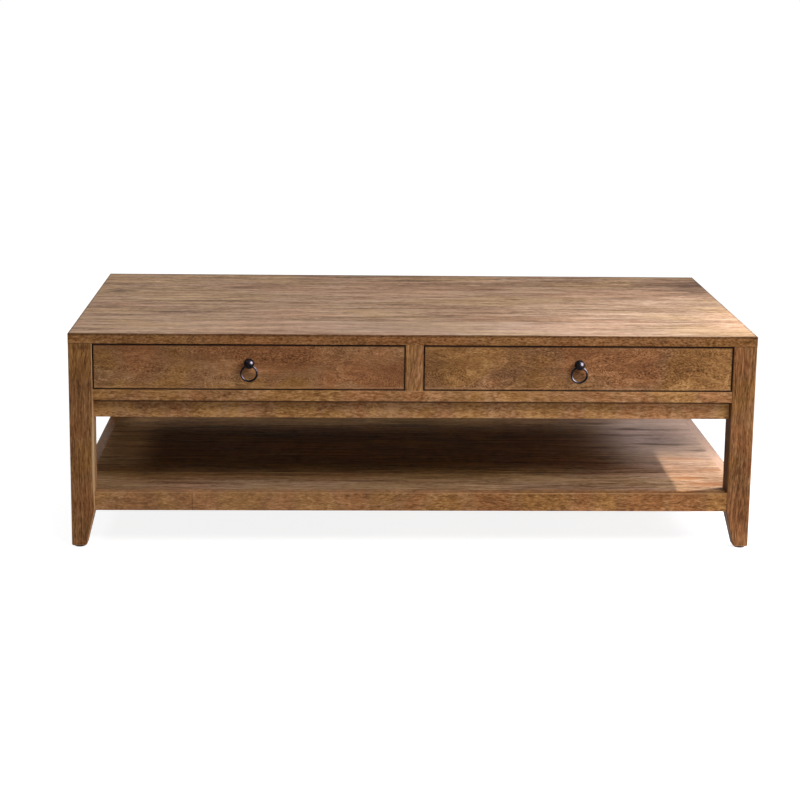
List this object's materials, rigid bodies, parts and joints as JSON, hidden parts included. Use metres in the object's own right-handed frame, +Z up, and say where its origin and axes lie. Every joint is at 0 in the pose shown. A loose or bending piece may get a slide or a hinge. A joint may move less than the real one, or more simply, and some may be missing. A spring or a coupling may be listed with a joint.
{
  "type": "coffee table",
  "caption": "Rectangular wooden coffee table on straight legs tapered at the feet, with side-by-side front drawers on ring pulls and a full low shelf.",
  "frame": {"origin": "centre of the bounding box in plan, on the floor plane under the glides", "axes": "+X along the table's length, +Y from the drawer side to the back, +Z up"},
  "size_m": [1.4, 0.7232, 0.45],
  "materials": {
    "wood_top": "brown-stained planked top, satin lacquer",
    "wood_frame": "brown-stained solid wood, satin lacquer",
    "wood_drawer_front": "brown-stained figured wood, satin lacquer",
    "wood_shelf": "brown-stained boards, satin lacquer",
    "wood_inside": "plain sanded secondary wood",
    "dark_bronze": "dark bronzed cast iron, worn semi-gloss",
    "zinc_steel": "zinc-plated steel",
    "black_plastic": "matt black plastic"
  },
  "bodies": {
    "frame": {"back_apron": "wood_frame", "centre_bearer": "wood_inside", "centre_guide": "wood_inside", "centre_stile": "wood_frame", "drawer_stops_left": "wood_inside", "drawer_stops_right": "wood_inside", "foot_glide_back_left": "black_plastic", "foot_glide_back_right": "black_plastic", "foot_glide_front_left": "black_plastic", "foot_glide_front_right": "black_plastic", "front_apron": "wood_frame", "front_drawer_rail": "wood_frame", "kicker_centre": "wood_inside", "kicker_left": "wood_inside", "kicker_right": "wood_inside", "leg_back_left": "wood_frame", "leg_back_right": "wood_frame", "leg_front_left": "wood_frame", "leg_front_right": "wood_frame", "shelf_back_rail": "wood_frame", "shelf_board_1": "wood_shelf", "shelf_board_2": "wood_shelf", "shelf_board_3": "wood_shelf", "shelf_board_4": "wood_shelf", "shelf_board_5": "wood_shelf", "shelf_cleat_left": "wood_inside", "shelf_cleat_right": "wood_inside", "shelf_cross_bearer": "wood_inside", "shelf_front_rail": "wood_frame", "shelf_side_rail_left": "wood_frame", "shelf_side_rail_right": "wood_frame", "side_apron_left": "wood_frame", "side_apron_right": "wood_frame", "side_guide_left": "wood_inside", "side_guide_right": "wood_inside", "side_runner_left": "wood_inside", "side_runner_right": "wood_inside", "top_board_1": "wood_top", "top_board_2": "wood_top", "top_board_3": "wood_top", "top_board_4": "wood_top", "top_board_5": "wood_top", "top_screws": "zinc_steel"},
    "drawer_left": {"drawer_left_front": "wood_drawer_front", "drawer_left_left_side": "wood_inside", "drawer_left_right_side": "wood_inside", "drawer_left_back": "wood_inside", "drawer_left_bottom": "wood_inside", "knob_left": "dark_bronze", "knob_nut_left": "zinc_steel"},
    "drawer_right": {"drawer_right_front": "wood_drawer_front", "drawer_right_left_side": "wood_inside", "drawer_right_right_side": "wood_inside", "drawer_right_back": "wood_inside", "drawer_right_bottom": "wood_inside", "knob_right": "dark_bronze", "knob_nut_right": "zinc_steel"},
    "ring_left": {"ring_left": "dark_bronze"},
    "ring_right": {"ring_right": "dark_bronze"}
  },
  "joints": [
    {"name": "drawer_left_slide", "type": "slide", "parent": "frame", "child": "drawer_left", "axis": [0, -1, 0], "range_m": [0, 0.33]},
    {"name": "drawer_right_slide", "type": "slide", "parent": "frame", "child": "drawer_right", "axis": [0, -1, 0], "range_m": [0, 0.33]},
    {"name": "ring_left_swing", "type": "hinge", "parent": "drawer_left", "child": "ring_left", "pos_m": [-0.335, -0.35085, 0.3869], "axis": [-1, 0, 0], "range_deg": [-20, 95]},
    {"name": "ring_right_swing", "type": "hinge", "parent": "drawer_right", "child": "ring_right", "pos_m": [0.335, -0.35085, 0.3869], "axis": [-1, 0, 0], "range_deg": [-20, 95]}
  ]
}
